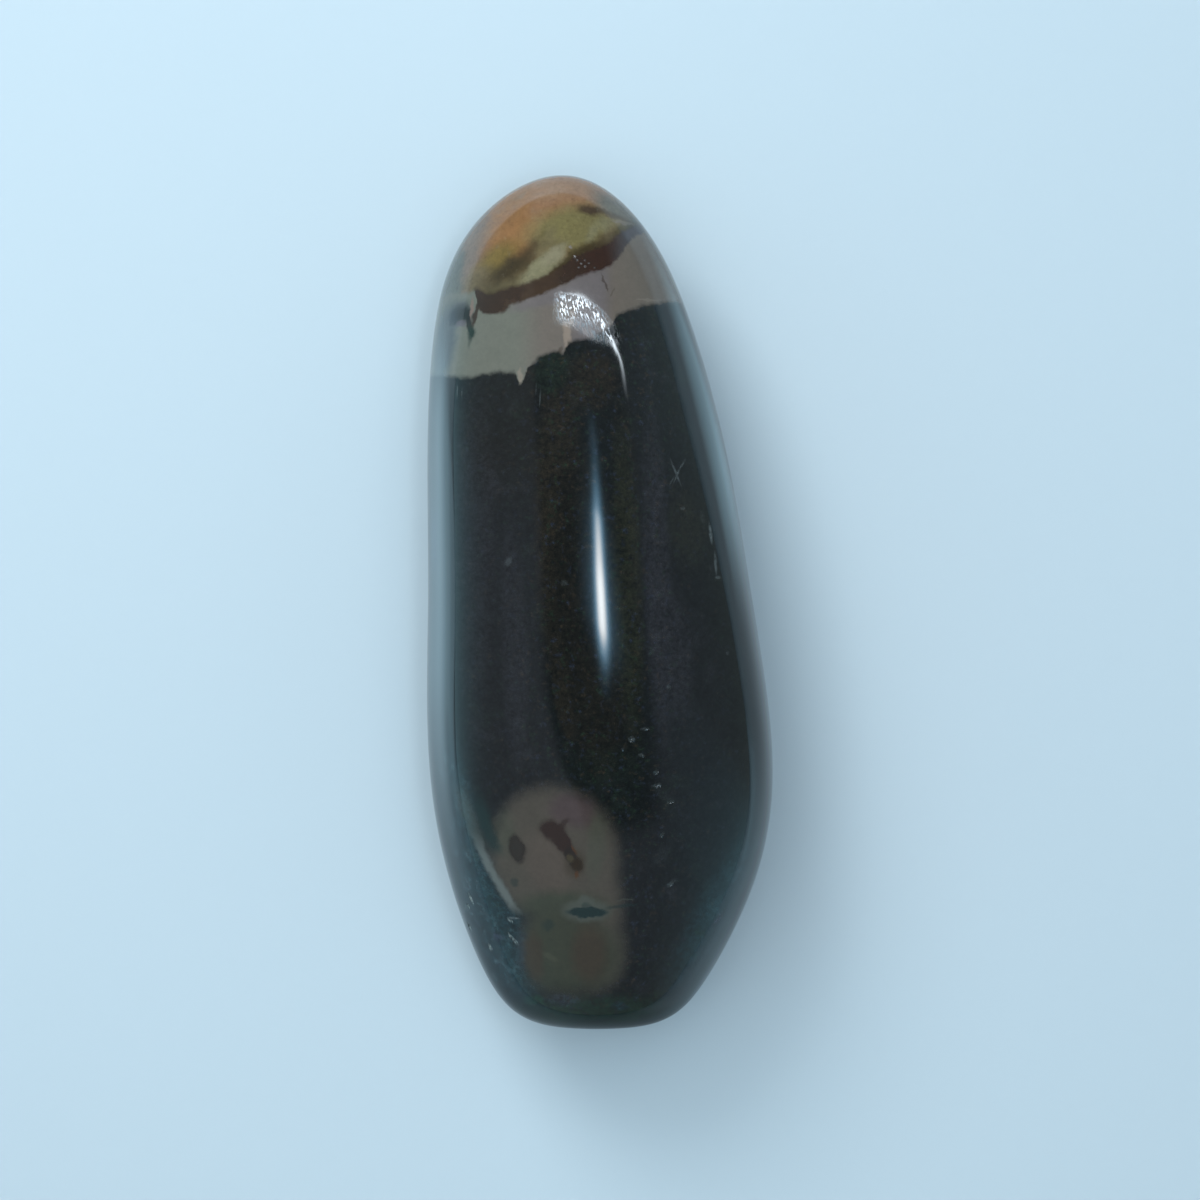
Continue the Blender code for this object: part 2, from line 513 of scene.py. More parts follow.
BROWN = seen(63, 53, 46, DARK_VEIL)
BROWN_LIGHT = seen(76, 65, 54, DARK_VEIL)
RED_BROWN = seen(63, 49, 43, DARK_VEIL)
BLUE_BROWN = seen(78, 77, 80, DARK_VEIL)
INK = seen(48, 47, 44, DARK_VEIL)
INK_GREEN = seen(50, 62, 56, DARK_VEIL)
INK_BLUE = seen(60, 68, 74, DARK_VEIL)
BONE = seen(132, 130, 122)

PATCH_GREY = seen(83, 81, 74)
PATCH_ROSE = seen(82, 74, 74)
PATCH_PALE = seen(89, 84, 77)
PATCH_SAGE = seen(80, 83, 74)
PATCH_GREEN = seen(68, 74, 64)
PATCH_BROWN = seen(71, 66, 57)
PATCH_VIOLET = seen(66, 68, 74)
PATCH_LOW = seen(67, 71, 61)
EYE = seen(56, 47, 43, DARK_VEIL)
EYE_GREY = seen(57, 55, 51, DARK_VEIL)
EYE_DARK = seen(49, 45, 41, DARK_VEIL)
EYE_AMBER = seen(52, 45, 34, 0.016)
EYE_GLINT = seen(88, 62, 42)
LENS = seen(42, 56, 55, DARK_VEIL)
LENS_EDGE = seen(84, 91, 85)
LINE = seen(108, 118, 116)
SCUFF_COLOUR = (0.085, 0.095, 0.095, 1)
# Paler colour of broken stone in chips and pits, brightened further as painted glints.
BROKEN_AND_GLINT_COLOUR = (0.21, 0.24, 0.23, 1)

# Lower edges of the bands across the front, as (x, y): the cap, the brown line and the grey band.
CAP_EDGE = (
    (-30, 50.5), (-25.5, 53.6), (-23, 53.4), (-21.3, 54.2), (-19, 53), (-17.2, 53.6), (-13.7, 54.6),
    (-10.3, 55.7), (-6.8, 57.6), (-4.3, 59.5), (-1.7, 60.6), (0.9, 61.8), (3.9, 64.3), (6.2, 65.6), (12, 69),
    (30, 70),
)
BROWN_EDGE = (
    (-30, 53.5), (-25.5, 54.6), (-23, 54.4), (-21.7, 53.8), (-21.1, 51.4), (-20, 49.9), (-17.6, 49.5),
    (-15.4, 50.9), (-13.7, 51.5), (-10.3, 52.7), (-6.8, 54.3), (-3.4, 56), (0, 57.2), (1.8, 58.2),
    (3.8, 60.6), (5.6, 62.9), (7.2, 64.4), (12, 68), (30, 69),
)
GREY_EDGE = (
    (-30, 39.8), (-23.3, 38.7), (-16, 39.4), (-14.4, 39.2), (-13.6, 37.4), (-12.8, 39), (-11.6, 41),
    (-8.8, 42.5), (-7.4, 42.9), (-6.4, 42.6), (-5.3, 44.6), (-2, 45.2), (1.8, 47.5), (3.1, 49.3), (7, 51),
    (11.1, 51.9), (14.8, 52.3), (30, 50),
)

# Marks on the front: x, y, half length, half width, turn from +X, softness of the edge, colour, strength.
GROUND_MARKS = (
    (-6.8, 14, 31, 4.4, 91, 0.35, BLACK_BROWN, 1),
    (-1.6, -2, 29, 6.6, 94, 0.22, BLACK_UMBER, 1),
    (-6.2, -17, 8, 1.6, 100, 0.5, BLACK_BROWN, 0.9),
    (4.8, 4, 30, 2.6, 92, 0.45, BLACK_OLIVE, 0.8),
    (-8.3, 39.6, 4.2, 3.4, 80, 0.35, BLACK_GREEN, 1),
    (-1.2, 38, 5.6, 4.6, 80, 0.4, BLACK_BROWN, 1),
    (9.8, 5, 30, 2.4, 92, 0.45, BLACK_GREY, 1),
    (12.4, -8, 12, 3.6, 96, 0.45, BLACK_GREY, 0.9),
    (15, 13, 7.5, 3.6, 95, 0.6, BLACK_OLIVE, 0.5),
    (-21.5, 10, 30, 4, 90, 0.45, BLACK_GREY, 0.45),
    (-14.6, -8, 22, 2.4, 92, 0.45, BLACK_GREY, 0.6),
    (0.5, -28.5, 8, 4, 10, 0.6, BLACK_GREEN, 0.35),
    (-3, -71.5, 17, 3.6, 2, 0.4, DEEP_GREEN, 0.9),
    (-11.6, -69.2, 2.2, 1.1, 10, 0.5, seen(48, 72, 56), 0.8),
    (-6.6, -69, 3, 1.2, 0, 0.9, VIOLET_GREY, 0.6),
    (3.5, -70.2, 1.4, 0.8, 0, 0.5, TEAL, 0.9),
    (-28.7, 11, 6.5, 0.8, 90, 0.9, VIOLET_BLUE, 0.8),
)
# Mottled teal zones by the rim: as the marks are, without a colour.
TEAL_ZONES = (
    (-20.5, -56, 18, 8.2, 112, 0.4, 1), (-25.6, -37, 15, 4.6, 98, 0.45, 0.9),
    (21.4, -53.6, 17, 5, 61, 0.6, 0.9),
)
BAND_MARKS = (
    (-9, 52.4, 7.5, 1.6, 16, 0.45, GREY_MAUVE, 0.9),
    (-2.5, 54, 4.2, 2.4, 25, 0.45, GREY_MAUVE, 0.9),
    (7, 56, 6, 4, 40, 0.4, GREY_WARM, 1),
    (-27, 45, 8, 2.6, 85, 0.5, GREY_BLUE, 0.9),
    (-5.6, 45.6, 3, 0.75, 96, 0.4, GREY_PALE, 0.8),
    (-4.7, 48.6, 2, 0.45, 80, 0.45, GREY_PALE, 0.5),
    (-13.6, 38.6, 1.6, 0.45, 88, 0.45, GREY_PALE, 0.5),
    (-6.9, 42.9, 1, 0.5, 60, 0.4, BROWN, 0.45),
    (8.3, 52.2, 2.6, 0.2, 5, 0.5, BONE, 0.5),
    (0.9, 55, 1.9, 0.2, 108, 0.4, BROWN, 0.6),
    (2.2, 53.3, 0.9, 0.18, 60, 0.4, BROWN, 0.35),
    (-24.3, 50.2, 2.9, 2.4, 150, 0.7, INK_BLUE, 0.75),
    (-25.2, 49.2, 1.4, 1.1, 90, 0.6, INK_BLUE, 0.9),
    (-23.7, 49.7, 2.1, 1.7, 150, 0.8, INK, 0.85),
    (-24, 47.9, 1.2, 0.6, 0, 0.6, seen(98, 90, 104), 0.5),
    (-22.9, 49.7, 1.7, 1.05, 100, 0.6, INK, 0.9),
    (-22.6, 48, 1.9, 0.6, 106, 0.55, INK, 0.9),
    (-21.4, 49.6, 2.9, 0.42, 75, 0.45, BROWN, 0.95),
    (-22.2, 46.4, 1.35, 0.65, 88, 0.6, INK_GREEN, 1),
    (-22.5, 45, 1.5, 0.4, 84, 0.8, INK_GREEN, 0.5),
    (-22.1, 50.8, 2.2, 0.34, 86, 0.5, seen(128, 116, 108), 0.95),
)
CAP_MARKS = (
    (-15.5, 62.5, 7.5, 3.8, 45, 0.6, ORANGE, 0.9),
    (-7, 71.5, 7.5, 2.8, 0, 0.6, TOP_SALMON, 0.7),
    (-4.2, 64.6, 9.6, 4.9, 12, 0.5, OLIVE, 1),
    (-15.4, 56.4, 7.4, 2.6, 16, 0.5, OLIVE_GREY, 0.9),
    (-18, 59, 5.2, 2.6, 38, 0.6, OLIVE_YELLOW, 0.9),
    (-21.2, 55.6, 3.6, 2.8, 35, 0.6, TAN, 0.9),
    (3, 68.6, 5.5, 2.6, -32, 0.6, TOP_GREY, 0.9),
    (-15.4, 57.5, 6.6, 2.3, 33, 0.8, OLIVE_DARK, 1),
    (-11.4, 60.8, 3.4, 1.7, 58, 0.8, OLIVE_DARK, 0.7),
    (-8.8, 63, 2.6, 1.3, 70, 0.8, OLIVE_GREY, 0.7),
    (-8.2, 60.4, 3.6, 2.6, 30, 0.6, OLIVE_GREY, 0.7),
    (-9.7, 58, 5.4, 1.75, 42, 0.45, LEAF, 1),
    (-8, 59.8, 3, 1.2, 42, 0.6, LEAF_BRIGHT, 0.7),
    (-2, 60.8, 4.2, 1.5, 24, 0.7, OLIVE_DARK, 0.95),
    (1.6, 63.2, 3.4, 1.5, 30, 0.7, BROWN_LIGHT, 0.6),
    (1, 65.6, 3.4, 1.5, 20, 0.7, LEAF, 0.55),
    (-1.4, 63.6, 1.9, 0.9, 60, 0.6, LEAF, 0.6),
    (-1.6, 68, 2.6, 1.1, -10, 0.7, BROWN_LIGHT, 0.95),
    (2, 67.4, 3.6, 0.6, -14, 0.7, BROWN_LIGHT, 0.5),
    (4.2, 66, 2.6, 0.32, -6, 0.45, BONE, 0.45),
    (-5, 61.3, 0.4, 0.35, 0, 0.4, BONE, 1),
)
PATCH_MARKS = (
    (-17, -38.5, 5.6, 2.4, 100, 0.5, PATCH_SAGE, 0.9),
    (-4.5, -35.6, 4.8, 3.4, 0, 0.5, PATCH_ROSE, 0.9),
    (-9, -45, 4.4, 6.5, 20, 0.5, PATCH_PALE, 0.9),
    (-0.6, -42, 7, 1.8, 85, 0.5, PATCH_SAGE, 0.8),
    (-6.2, -52.6, 9, 3.2, 0, 0.5, PATCH_GREEN, 0.9),
    (-6, -61, 11, 9, 0, 0.4, PATCH_LOW, 1),
    (-14.2, -60.6, 5, 2.4, 90, 0.5, PATCH_VIOLET, 0.8),
    (-11.4, -61.6, 5.6, 2, 90, 0.5, PATCH_BROWN, 0.9),
    (-1.8, -60.6, 6, 3.4, 90, 0.5, PATCH_BROWN, 0.9),
    (-14.2, -42.4, 2.75, 1.5, 101, 0.3, EYE_DARK, 0.9),
    (-14.2, -42.4, 2.2, 1, 101, 0.5, EYE_GREY, 0.8),
    (-4.3, -44.8, 2.6, 2.1, 100, 0.6, PATCH_BROWN, 0.8),
    (-8.1, -39.2, 2.6, 1.9, -22, 0.4, EYE, 1),
    (-6.2, -38, 1.3, 0.7, 40, 0.5, EYE, 0.7),
    (-6.5, -41, 2.7, 1.5, -52, 0.4, EYE, 1),
    (-4.8, -43.8, 2.3, 1.05, -62, 0.4, EYE_DARK, 0.9),
    (-3.8, -45, 1.45, 1.15, 80, 0.5, EYE_AMBER, 1),
    (-5, -44, 0.8, 0.6, 110, 0.6, seen(84, 80, 62), 0.6),
    (-4.5, -42.5, 0.9, 0.3, 120, 0.6, EYE_GLINT, 0.6),
    (-3.9, -46.8, 0.7, 0.35, 90, 0.6, EYE_GLINT, 0.7),
    (-14.7, -48.3, 0.9, 0.8, 0, 0.5, LENS, 0.5),
    (-8.9, -55.7, 1.2, 1.1, 0, 0.5, LENS, 0.5),
    (-8.4, -61.4, 1.5, 0.7, -25, 0.5, seen(78, 82, 70), 0.7),
    (-2.3, -53.1, 4.5, 2.1, 0, 0.4, LENS_EDGE, 0.85),
    (-2.3, -51.5, 1.5, 1.2, 0, 0.45, LENS_EDGE, 0.9),
    (-2.1, -53.4, 3.7, 0.95, 1, 0.3, LENS, 1),
    (-2.3, -52.5, 1.1, 0.9, 90, 0.45, LENS, 0.5),
    (3.8, -52.3, 3.2, 0.34, 6, 0.6, LENS, 0.55),
    (4.4, -51.2, 1.6, 0.22, 4, 0.45, LENS_EDGE, 0.35),
)
# The first of these marks tint the patch itself, and the others lie over its edge.
PATCH_BODY_MARKS = 9
# Rounded forms that the patch is blended from: (x, y), (half width, half length), and a skirt round them.
PATCH_FORMS = (((-8, -43.6), (11.2, 12.4)), ((-3.7, -53), (7.6, 12.5)), ((-4.9, -60.6), (9.4, 9)))
PATCH_SKIRT = 2.6
# The pale and the dark line at the left of the patch, as (y, x).
PALE_LINE = (
    (-55.5, -13.2), (-52.3, -15.2), (-48.9, -17.2), (-45.3, -19.3), (-41.5, -20.8), (-38.4, -22), (-30, -25),
)
DARK_LINE = ((-50, -16.4), (-47, -17.2), (-43, -17.8), (-39.4, -19.2), (-35.6, -20.3), (-30, -21.4))

# Scratches and scuffs that catch the light: x, y, half length, half width, turn, strength.
SCUFFS = (
    (13, 22.2, 3.1, 0.26, -68, 0.55), (13.5, 22.3, 3.1, 0.22, 66, 0.55), (14.2, 23.6, 1.6, 0.24, 58, 0.45),
    (12.4, 20.8, 1.3, 0.22, 60, 0.35), (19.05, 11.7, 2.4, 0.42, 96, 0.75), (19.9, 6.6, 2.6, 0.36, 94, 0.6),
    (20.3, 4.2, 0.7, 0.4, 0, 0.5), (17.6, 14.6, 1.6, 0.6, 100, 0.12), (14.2, 16, 0.6, 0.4, 0, 0.3),
    (-15.6, 6.8, 1.5, 0.7, 60, 0.22), (-6.1, 3.2, 0.8, 0.7, 0, 0.2), (22, -8.8, 0.5, 0.35, 80, 0.4),
    (-12.8, 39.7, 1.6, 0.18, 92, 0.25), (-10.2, 34.8, 2.2, 0.2, 86, 0.3), (-10.9, 36.4, 1.3, 0.18, 88, 0.25),
    (-24.5, 36.3, 1.7, 0.18, 88, 0.35), (-23.7, 35.9, 1.4, 0.16, 88, 0.25),
    (10.6, -43.5, 3.2, 1.6, 60, 0.07), (12.3, -48.5, 1.8, 0.8, 50, 0.12), (11, -33.2, 2.8, 1, 150, 0.07),
    (-3.9, 58.9, 0.32, 0.26, 0, 0.55), (-3.2, 58.3, 0.3, 0.24, 0, 0.6), (-2.5, 57.8, 0.34, 0.26, 0, 0.55),
    (-3.6, 57.6, 0.28, 0.24, 0, 0.5), (-2.6, 58.9, 0.28, 0.24, 0, 0.45), (-1.9, 58.4, 0.3, 0.24, 0, 0.5),
    (-0.9, 57.6, 0.26, 0.22, 0, 0.4), (-14.9, -54.6, 1.5, 0.28, 178, 0.75),
    (-24.4, -52.6, 2.6, 0.35, 112, 0.25),
)

# Worn shoulder under the cap: an arc of short grinding lines, polished and duller by turns. It fades outside
# and inside its radius by these distances, as (whole, gone), and at its left and low ends, as (gone, whole).
WORN_CENTRE = (-7.3, 41.6)
WORN_RADIUS = 10
WORN_OUTSIDE = (1, 1.9)
WORN_INSIDE = (-2, -4.8)
WORN_LEFT_END = (-8.4, -7)
WORN_LOW_END = (43.4, 46.4)
WORN_DULL = 0.28
GRIND_SIZE = (0.24, 3.4)
GRIND_TURN = 13
GRIND_DEPTH = 0.0003
# Colour, share and right end of the pale streaks on the worn arc: grinding lines, and partly a painted
# highlight that stands for the shoulder lamp's dashes of light.
GRIND_AND_HIGHLIGHT_COLOUR = (0.3, 0.34, 0.37, 1)
GRIND_AND_HIGHLIGHT_SHARE = 0.5
GRIND_AND_HIGHLIGHT_RIGHT_END = (2.6, 0.8)

# Roughness of the polish and what a scuff or a chip adds to it, and the stone's index of refraction.
POLISH = 0.06
DAMAGE_ROUGH = 0.35
STONE_IOR = 1.54

# Sizes of the lumps in the stone, and how far they push the edges of its markings.
WANDER_SIZE = 1 / 0.55
WANDER_REACH = 0.75
GRAIN_SIZE = 0.9
CLOUD_SIZE = 3.6
SPECK_SIZE = 0.42
# Heights between which what is on the front alone comes in, and half the depth of marks, patch and scuffs.
FRONT_FADE = (16, 24)
MARK_DEPTH = 3.5
PATCH_DEPTH = 16
SCUFF_DEPTH = 3


class Spot:
    """Where a point of the stone lies, as the material's own numbers."""

    def __init__(self, book):
        self.point = millimetres(book)
        self.x, self.y, self.z = book.split(self.point)
        wander = book.node("TexNoise", noise_dimensions="3D")
        book.feed_all(wander, {"Vector": self.point, "Scale": 1 / WANDER_SIZE, "Detail": 4, "Roughness": 0.6})
        spread, back = (2 * WANDER_REACH,) * 3, (-WANDER_REACH,) * 3
        lumps = Value(book, wander.outputs["Color"])
        shift = book.math("MULTIPLY_ADD", lumps, spread, back, kind="VectorMath")
        self.ragged = book.math("ADD", self.point, shift, kind="VectorMath")
        self.ragged_x, self.ragged_y, _ = book.split(self.ragged)
        self.grain = book.noise(self.point, GRAIN_SIZE, 3, 0.6)
        self.cloud = book.noise(self.point, CLOUD_SIZE, 3)
        self.speck = book.noise(self.point, SPECK_SIZE, 2)
        self.front = book.smooth(self.z, *FRONT_FADE)


def mark_share(book, point, form, strength):
    """Strength inside a mark's ellipse on the front, easing to 0 at its edge."""
    x, y, half_length, half_width, turn, softness = form
    grown = 1 + softness / 2
    radii = (half_length * grown, half_width * grown, max(MARK_DEPTH, half_length) * grown)
    inside = book.spot(point, (x, y, front_height(x, y)), radii, turn)
    return book.smooth(inside, 0, 1.5 * softness / grown, strength)


def paint_marks(book, point, shade, marks):
    for *form, tint, strength in marks:
        shade = book.mix(shade, tint, mark_share(book, point, form, strength))
    return shade


def dark_corner(book, at, shade):
    """Teal zones by the rim near the base, with pale, dark and violet mottles."""
    lumps = book.noise(at.point, 2.8, 2, 0.62)
    mottled = book.mix(TEAL, TEAL_DARK, book.smooth(lumps, 0, -0.9))
    mottled = book.mix(mottled, TEAL_PALE, book.smooth(lumps, 0, 1.5) * book.smooth(at.x, 10, -10))
    for place, tint in (((9, 4, 17), DEEP_GREEN), ((3, 27, 8), VIOLET_GREY)):
        spots = book.noise(book.move(at.point, place), 3, 3)
        mottled = book.mix(mottled, tint, book.smooth(spots, 0.4, 1) * 0.8)
    share = 0
    for *form, strength in TEAL_ZONES:
        share = book.math("MAXIMUM", share, mark_share(book, at.ragged, form, strength))
    return book.mix(shade, mottled, share)


def ground_colour(book, at):
    """The near-black body, with brown, green and grey clouds in it and a fine grain."""
    shade = book.mix(BLACK, BLACK_GREEN, book.smooth(book.noise(at.point, 7, 4), 0.3, 1.3))
    greys = book.noise(book.move(at.point, (31, 7, 3)), 5, 5)
    shade = book.mix(shade, BLACK_GREY, book.smooth(greys, 0.2, 1.4))
    shade = paint_marks(book, at.ragged, shade, GROUND_MARKS)
    shade = dark_corner(book, at, shade)
    under = book.smooth(at.z, 17, 4)
    browns = book.noise(at.point, 11, 3, 0.6)
    shade = book.mix(shade, SIDE_BROWN, book.smooth(browns, 0.1, 1) * under)
    greys = book.noise(at.point, 8, 4, 0.6, 1)
    shade = book.mix(shade, SIDE_GREY, book.smooth(greys, 0.4, 1.1) * under)
    coarse = book.smooth(book.math("ABSOLUTE", at.ragged_x), 17, 6) * 0.6 + 0.3
    for place, grain in (((5, 1, 2), GRAIN_BROWN), ((17, 3, 9), GRAIN_GREEN), ((2, 29, 6), GRAIN_BLUE)):
        lumps = book.noise(book.move(at.point, place), 1.1, 3, 0.6)
        shade = book.mix(shade, grain, book.smooth(lumps, 0.2, 1.1) * coarse)
    brightness = 1 + at.grain * 0.62 + at.cloud * 0.35 + at.speck * 0.38
    return book.scale(shade, book.math("MAXIMUM", brightness, 0.2))


def back_lean(book, at):
    """How far the layers dip towards the base as they pass through to the back."""
    wave = book.noise(at.point, 16, 1) * book.smooth(at.z, 26, 10)
    return book.smooth(at.z, 22, 3) * 6 + wave * 2


def band_colour(book, at, shade, height):
    """The grey band, the dark brown line over it and the warm cap."""
    even = 1 + at.cloud * 0.05 + at.grain * 0.04 + at.speck * 0.03
    grey = book.mix(GREY_GREEN, GREY_TAN, book.smooth(at.x, -15, -9))
    grey = book.mix(grey, GREY_MAUVE, book.smooth(at.x, -7, -3))
    grey = book.mix(grey, GREY_WARM, book.smooth(at.x, 0, 3))
    grey = paint_marks(book, at.ragged, grey, BAND_MARKS)
    over = height - book.curve(at.ragged_x, GREY_EDGE)
    shade = book.mix(shade, book.scale(grey, even), book.smooth(over, -0.55, 0.55))
    brown = book.mix(BROWN, RED_BROWN, book.smooth(at.x + at.cloud * 2, -6, 0))
    brown = book.mix(brown, BROWN_LIGHT, book.smooth(at.cloud, 0.2, 1.3))
    brown = book.mix(brown, BLUE_BROWN, book.smooth(at.x, 1.5, 5))
    brown = book.mix(brown, BROWN_LIGHT, book.smooth(book.math("ABSOLUTE", at.x + 10), 4.5, 1.5) * 0.6)
    brown = book.scale(brown, 1 + at.cloud * 0.1 + at.grain * 0.1)
    over = height - book.curve(at.ragged_x, BROWN_EDGE)
    shade = book.mix(shade, brown, book.smooth(over, -0.4, 0.4))
    cap = book.mix(ORANGE, SALMON, book.smooth(at.x + at.cloud, -14, -10))
    cap = book.mix(cap, TOP_GREY, book.smooth(at.cloud, 0, 1.2) * 0.65)
    cap = book.mix(cap, ROSE_GREY, book.smooth(at.x + at.cloud, -17, -22))
    cap = book.mix(cap, RIM_GREY, book.smooth(at.x + at.cloud, -22.6, -25.2))
    over = height - book.curve(at.ragged_x, CAP_EDGE)
    fringe = book.smooth(over + at.cloud * 0.8, 2.4, 0.6)
    cap = book.mix(cap, OLIVE_DARK, fringe * book.smooth(at.x, -23, -20.5))
    cap = paint_marks(book, at.ragged, cap, CAP_MARKS)
    flecks = book.noise(book.move(at.point, (4, 8, 21), 0, (0.7, 1.3, 1)), 1.2, 3, 0.6)
    cap = book.mix(cap, OLIVE_DARK, book.smooth(flecks, 0.2, 1.4) * 0.45)
    cap = book.mix(cap, LEAF_BRIGHT, book.smooth(flecks, -0.4, -1.5) * 0.4)
    cap = book.scale(cap, even + at.cloud * 0.06 + at.grain * 0.07 + at.speck * 0.04)
    return book.mix(shade, cap, book.smooth(over, -0.55, 0.55))


def patch_form(book, at, form):
    """How far inside one of the patch's forms a point is, in millimetres, down to a little outside."""
    (x, y), (half_width, half_length) = form
    reach = half_width + PATCH_SKIRT
    radii = (reach, half_length + PATCH_SKIRT, PATCH_DEPTH)
    return book.spot(at.ragged, (x, y, front_height(x, y)), radii) * reach - PATCH_SKIRT


def patch_colour(book, at, shade):
    """The soft grey patch with its eyes near the base end, and the greenish zone that it runs into."""
    body = paint_marks(book, at.ragged, PATCH_GREY, PATCH_MARKS[:PATCH_BODY_MARKS])
    body = book.scale(body, 1 + at.cloud * 0.07 + at.grain * 0.06 + at.speck * 0.04)
    inside = -PATCH_SKIRT
    for form in PATCH_FORMS:
        inside = book.math("SMOOTH_MAX", inside, patch_form(book, at, form), 2)
    shade = book.mix(shade, body, book.smooth(inside, -1.7, 2.1) * book.smooth(at.ragged_y, -70.5, -64.5))
    return paint_marks(book, at.ragged, shade, PATCH_MARKS[PATCH_BODY_MARKS:])


def line_share(book, at, path, half_width, ends):
    """1 on a line that follows a path from one end to the other, 0 beside it."""
    away = book.math("ABSOLUTE", at.ragged_x - book.curve(at.y, path))
    reach = book.smooth(at.y, ends[0] - 1.5, ends[0] + 1.5) * book.smooth(at.y, ends[1] + 3, ends[1] - 3)
    return book.smooth(away, half_width * 1.6, half_width * 0.3) * reach * at.front


def side_lines(book, at, shade):
    """The dark and the pale line that run down the left of the patch."""
    shade = book.mix(shade, LENS, line_share(book, at, DARK_LINE, 1.1, (-43, -34)) * 0.85)
    shade = book.mix(shade, LENS_EDGE, line_share(book, at, PALE_LINE, 1.2, (-42, -33)) * 0.4)
    return book.mix(shade, LINE, line_share(book, at, PALE_LINE, 0.8, (-53, -41.5)) * 0.85)


def scuff_share(book, at):
    """How much the polish is scratched or scuffed."""
    share = 0
    for x, y, half_length, half_width, turn, strength in SCUFFS:
        inside = book.spot(at.point, (x, y, front_height(x, y)), (half_length, half_width, SCUFF_DEPTH), turn)
        share = book.math("MAXIMUM", share, book.smooth(inside, 0, 0.7, strength))
    return share * book.smooth(at.grain, -1.2, 0.5)


def jasper_colour(book, at, scuffs, broken, grind_and_highlight):
    """The colour of the stone: near-black body, coloured bands at the cap, patch near the base, and wear that
    is partly painted highlight.
    """
    shade = ground_colour(book, at)
    shade = patch_colour(book, at, shade)
    shade = side_lines(book, at, shade)
    shade = band_colour(book, at, shade, at.ragged_y + back_lean(book, at))
    shade = book.mix(shade, SCUFF_COLOUR, scuffs)
    # Pale streaks on the worn arc: grinding lines, and partly a painted highlight.
    shade = book.mix(shade, GRIND_AND_HIGHLIGHT_COLOUR, grind_and_highlight)
    # Chips and pits paled partly as broken stone and partly as painted glints, mottled by the speck noise.
    return book.mix(shade, BROKEN_AND_GLINT_COLOUR, broken * book.smooth(at.speck, -0.9, 0.5, 0.8))


def grinding_lines(book, at):
    """Short slanted streaks about 0, the polish being whole where they are high."""
    stretched = book.move(at.point, (0, 0, 0), GRIND_TURN, (*GRIND_SIZE, GRIND_SIZE[0]))
    return book.noise(stretched, 1, 0)


def worn_shoulder(book, at):
    """1 along the worn arc, 0 away from it."""
    across = at.x - WORN_CENTRE[0]
    along = at.y - WORN_CENTRE[1]
    away = book.math("SQRT", across * across + along * along) - WORN_RADIUS
    arc = book.smooth(away, *reversed(WORN_OUTSIDE)) * book.smooth(away, *reversed(WORN_INSIDE))
    return arc * book.smooth(at.x, *WORN_LEFT_END) * book.smooth(at.y, *WORN_LOW_END) * at.front


def make_jasper():
    """The polished jasper: its colour, and a polish that is duller on scuffs, chips and the worn shoulder."""
    material, book = new_material("polished_jasper")
    shader = book.tree.nodes["Principled BSDF"]
    at = Spot(book)
    scuffs = scuff_share(book, at)
    broken = Value(book, book.node("Attribute", attribute_name="broken").outputs["Fac"])
    lines = grinding_lines(book, at)
    zone = worn_shoulder(book, at)
    # Pale colour on the polished streaks of the worn arc, where the lamp's dashes fall: partly grinding
    # lines, partly a painted highlight.
    grind_and_highlight = zone * book.smooth(lines, 0.05, 0.45, GRIND_AND_HIGHLIGHT_SHARE) * book.smooth(at.x, *GRIND_AND_HIGHLIGHT_RIGHT_END)
    shade = jasper_colour(book, at, scuffs, broken, grind_and_highlight)
    rough = book.math("MULTIPLY_ADD", book.math("MAXIMUM", scuffs, broken), DAMAGE_ROUGH, POLISH)
    rough = rough + zone * book.smooth(lines, 0.34, -0.03) * WORN_DULL
    book.feed_all(shader, {"Base Color": shade, "Roughness": rough, "IOR": STONE_IOR})
    bump = book.node("Bump")
    bump.inputs["Distance"].default_value = GRIND_DEPTH * MM
    book.feed(bump.inputs["Height"], lines * zone)
    book.tree.links.new(bump.outputs["Normal"], shader.inputs["Normal"])
    return material


# ---- floor, light and camera

CAMERA_HEIGHT = 750
CAMERA_X = 0.04
CAMERA_Y = 0.31
WIDEST_LEVEL = 22.5
VIEW_WIDTH = 210.4
SENSOR_WIDTH = 36

FLOOR_REACH = (-1500, 1500)
FLOOR_DROP = 0.02
FLOOR_ROUGHNESS = 0.9
FLOOR_COLOUR = (0.52, 0.59, 0.63, 1)
WHITE = (1, 1, 1, 1)
COOL = (0.84, 0.94, 1)
BLUE = (0.5, 0.93, 1.15, 1)
BOUNCE_HEIGHT = 0.3
BOUNCE_REACH = (-1400, 1400)

# The lit strip that draws the long streak: its sheet across and along, the reach of its core and its halo to
# each side, and its brightness along it as (place, share).
STRIP_SHEET = ((-400, 400), (-270, 630))
STRIP_CENTRE = (135, -20, 1200)
STRIP_TURN = -12
STRIP_RADIANCE = 21
STRIP_CORE = 52
STRIP_HALO = 150
STRIP_HALO_SHARE = 0.09
STRIP_ALONG = (
    (-260, 0), (-200, 0.04), (-150, 0.25), (-110, 0.6), (-70, 0.95), (-20, 1), (30, 0.92), (80, 0.74),
    (150, 0.6), (210, 0.48), (260, 0.26), (320, 0.16), (400, 0.07), (520, 0.03), (620, 0),
)
STRIP_BLUE = (0.32, 0.68, 1, 1)
STRIP_WHITE = (0.9, 0.96, 1, 1)

